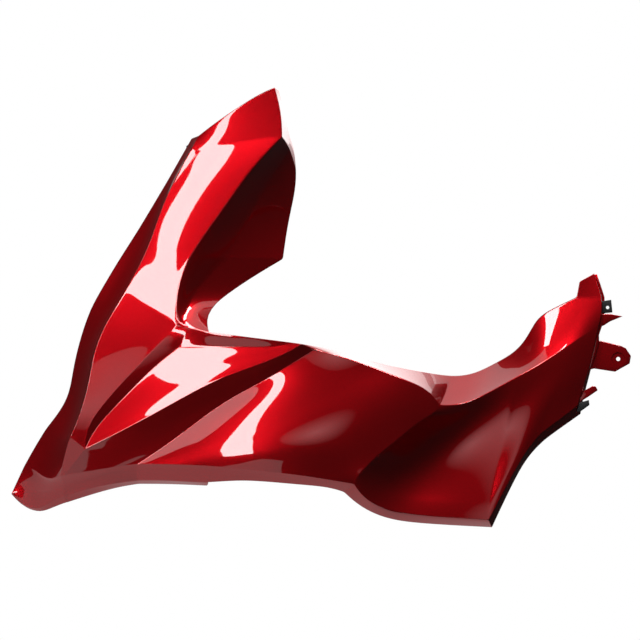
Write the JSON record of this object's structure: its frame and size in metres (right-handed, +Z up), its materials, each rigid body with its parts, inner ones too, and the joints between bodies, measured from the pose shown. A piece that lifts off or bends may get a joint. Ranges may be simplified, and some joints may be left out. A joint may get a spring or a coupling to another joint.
{
  "type": "scooter front panel",
  "caption": "Thin moulded side panel for the front of a scooter: tall folded blade, faceted knee, rounded belly and twisting tail with fixing tabs.",
  "frame": {"origin": "centre of the rear screw hole, on the seat face under the screw head", "axes": "+X towards the rear of the scooter, along the panel; +Y from the painted face inwards; +Z up"},
  "size_m": [0.6815, 0.1634, 0.4841],
  "materials": {
    "painted_skin": "candy red metallic paint under clear lacquer, bare dark plastic behind"
  },
  "bodies": {
    "root": {"front_panel": "painted_skin"}
  },
  "joints": []
}
